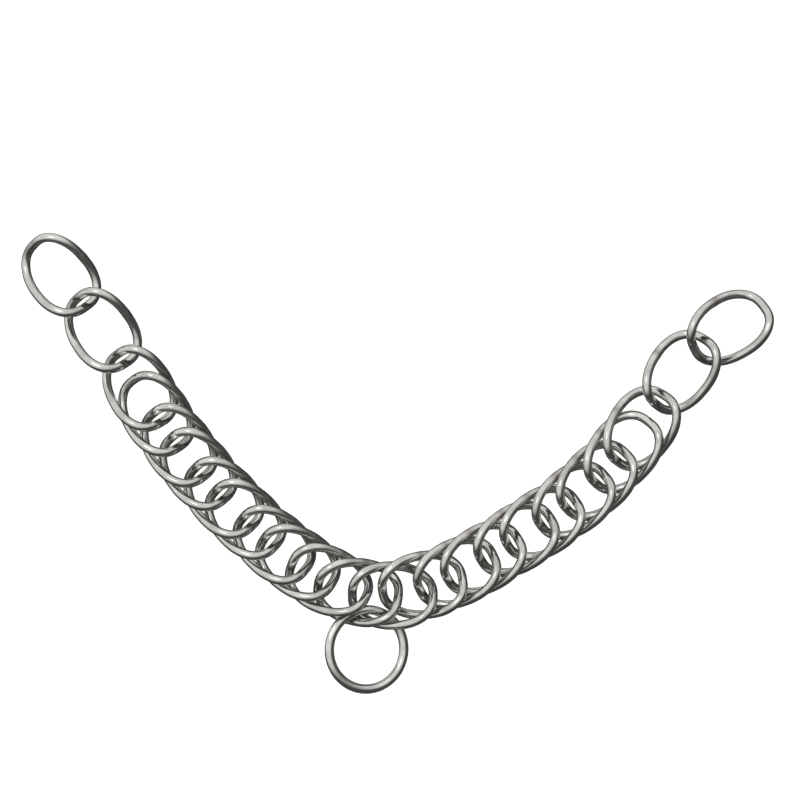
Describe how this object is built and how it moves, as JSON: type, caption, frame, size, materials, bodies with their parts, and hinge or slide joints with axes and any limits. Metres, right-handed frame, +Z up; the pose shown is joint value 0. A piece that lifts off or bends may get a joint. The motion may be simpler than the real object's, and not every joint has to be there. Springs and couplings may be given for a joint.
{
  "type": "curb chain",
  "caption": "Double-link twisted steel curb chain with single end links and a round fly ring, laid out in a shallow V.",
  "frame": {"origin": "on the surface the chain lies on, under the middle of the model's box", "axes": "+X along the laid-out chain from its left end to its right, +Y away from the fly ring, +Z up off the surface"},
  "size_m": [0.189, 0.1154, 0.0099],
  "materials": {
    "link_steel": "polished stainless steel wire, softly worn",
    "ring_steel": "polished stainless steel wire, softly worn"
  },
  "bodies": {
    "link_01": {"link_01": "link_steel"},
    "link_02": {"link_02": "link_steel"},
    "link_03": {"link_03": "link_steel"},
    "link_04": {"link_04": "link_steel"},
    "link_05": {"link_05": "link_steel"},
    "link_06": {"link_06": "link_steel"},
    "link_07": {"link_07": "link_steel"},
    "link_08": {"link_08": "link_steel"},
    "link_09": {"link_09": "link_steel"},
    "link_10": {"link_10": "link_steel"},
    "link_11": {"link_11": "link_steel"},
    "link_12": {"link_12": "link_steel"},
    "link_13": {"link_13": "link_steel"},
    "link_14": {"link_14": "link_steel"},
    "link_15": {"link_15": "link_steel"},
    "link_16": {"link_16": "link_steel"},
    "link_17": {"link_17": "link_steel"},
    "link_18": {"link_18": "link_steel"},
    "link_19": {"link_19": "link_steel"},
    "link_20": {"link_20": "link_steel"},
    "link_21": {"link_21": "link_steel"},
    "link_22": {"link_22": "link_steel"},
    "link_23": {"link_23": "link_steel"},
    "link_24": {"link_24": "link_steel"},
    "fly_ring": {"fly_ring": "ring_steel"}
  },
  "joints": [
    {"name": "link_01_flex", "type": "hinge", "parent": "link_02", "child": "link_01", "pos_m": [-0.07908, 0.04022, 0.00401], "axis": [-0.7934, -0.6088, 0], "range_deg": [-35, 35]},
    {"name": "link_02_flex", "type": "hinge", "parent": "link_03", "child": "link_02", "pos_m": [-0.06924, 0.02632, 0.00401], "axis": [-0.8387, -0.5446, 0], "range_deg": [-30, 30]},
    {"name": "link_03_flex", "type": "hinge", "parent": "link_04", "child": "link_03", "pos_m": [-0.06234, 0.01563, 0.00401], "axis": [-0.8425, -0.5388, 0], "range_deg": [-8, 8]},
    {"name": "link_04_flex", "type": "hinge", "parent": "link_05", "child": "link_04", "pos_m": [-0.05748, 0.00848, 0.00401], "axis": [-0.8111, -0.585, 0], "range_deg": [-8, 8]},
    {"name": "link_05_flex", "type": "hinge", "parent": "link_06", "child": "link_05", "pos_m": [-0.05223, 0.00161, 0.00401], "axis": [-0.7771, -0.6293, 0], "range_deg": [-8, 8]},
    {"name": "link_06_flex", "type": "hinge", "parent": "link_07", "child": "link_06", "pos_m": [-0.0466, -0.00495, 0.00401], "axis": [-0.7408, -0.6717, 0], "range_deg": [-8, 8]},
    {"name": "link_07_flex", "type": "hinge", "parent": "link_08", "child": "link_07", "pos_m": [-0.04062, -0.01119, 0.00401], "axis": [-0.7022, -0.712, 0], "range_deg": [-8, 8]},
    {"name": "link_08_flex", "type": "hinge", "parent": "link_09", "child": "link_08", "pos_m": [-0.03429, -0.01709, 0.00401], "axis": [-0.6613, -0.7501, 0], "range_deg": [-8, 8]},
    {"name": "link_09_flex", "type": "hinge", "parent": "link_10", "child": "link_09", "pos_m": [-0.02766, -0.02247, 0.00401], "axis": [-0.5969, -0.8023, 0], "range_deg": [-8, 8]},
    {"name": "link_10_flex", "type": "hinge", "parent": "link_11", "child": "link_10", "pos_m": [-0.02064, -0.02711, 0.00401], "axis": [-0.5053, -0.863, 0], "range_deg": [-6, 6]},
    {"name": "link_11_flex", "type": "hinge", "parent": "link_12", "child": "link_11", "pos_m": [-0.01313, -0.03061, 0.00401], "axis": [-0.333, -0.9429, 0], "range_deg": [-3, 3]},
    {"name": "link_13_flex", "type": "hinge", "parent": "link_12", "child": "link_13", "pos_m": [-0.00516, -0.03226, 0.00401], "axis": [0.0689, 0.9976, 0], "range_deg": [-3, 3]},
    {"name": "link_14_flex", "type": "hinge", "parent": "link_13", "child": "link_14", "pos_m": [0.00297, -0.03172, 0.00401], "axis": [-0.2002, 0.9798, 0], "range_deg": [-3, 3]},
    {"name": "link_15_flex", "type": "hinge", "parent": "link_14", "child": "link_15", "pos_m": [0.0109, -0.02932, 0.00401], "axis": [-0.3762, 0.9265, 0], "range_deg": [-8, 8]},
    {"name": "link_16_flex", "type": "hinge", "parent": "link_15", "child": "link_16", "pos_m": [0.01854, -0.02577, 0.00401], "axis": [-0.4648, 0.8854, 0], "range_deg": [-8, 8]},
    {"name": "link_17_flex", "type": "hinge", "parent": "link_16", "child": "link_17", "pos_m": [0.02598, -0.02158, 0.00401], "axis": [-0.5158, 0.8567, 0], "range_deg": [-8, 8]},
    {"name": "link_18_flex", "type": "hinge", "parent": "link_17", "child": "link_18", "pos_m": [0.03335, -0.01705, 0.00401], "axis": [-0.5321, 0.8467, 0], "range_deg": [-8, 8]},
    {"name": "link_19_flex", "type": "hinge", "parent": "link_18", "child": "link_19", "pos_m": [0.04053, -0.01223, 0.00401], "axis": [-0.5814, 0.8136, 0], "range_deg": [-8, 8]},
    {"name": "link_20_flex", "type": "hinge", "parent": "link_19", "child": "link_20", "pos_m": [0.0473, -0.00686, 0.00401], "axis": [-0.6593, 0.7518, 0], "range_deg": [-8, 8]},
    {"name": "link_21_flex", "type": "hinge", "parent": "link_20", "child": "link_21", "pos_m": [0.0535, -0.00085, 0.00401], "axis": [-0.7308, 0.6826, 0], "range_deg": [-8, 8]},
    {"name": "link_22_flex", "type": "hinge", "parent": "link_21", "child": "link_22", "pos_m": [0.05908, 0.00575, 0.00401], "axis": [-0.7949, 0.6067, 0], "range_deg": [-8, 8]},
    {"name": "link_23_flex", "type": "hinge", "parent": "link_22", "child": "link_23", "pos_m": [0.06654, 0.01604, 0.00401], "axis": [-0.8171, 0.5764, 0], "range_deg": [-30, 30]},
    {"name": "link_24_flex", "type": "hinge", "parent": "link_23", "child": "link_24", "pos_m": [0.07746, 0.02849, 0.00401], "axis": [-0.6769, 0.7361, 0], "range_deg": [-35, 35]},
    {"name": "fly_ring_swing", "type": "hinge", "parent": "link_12", "child": "fly_ring", "pos_m": [-0.00444, -0.03658, 0.00279], "axis": [0.8882, 0.0957, -0.4493], "range_deg": [-15, 60]}
  ]
}
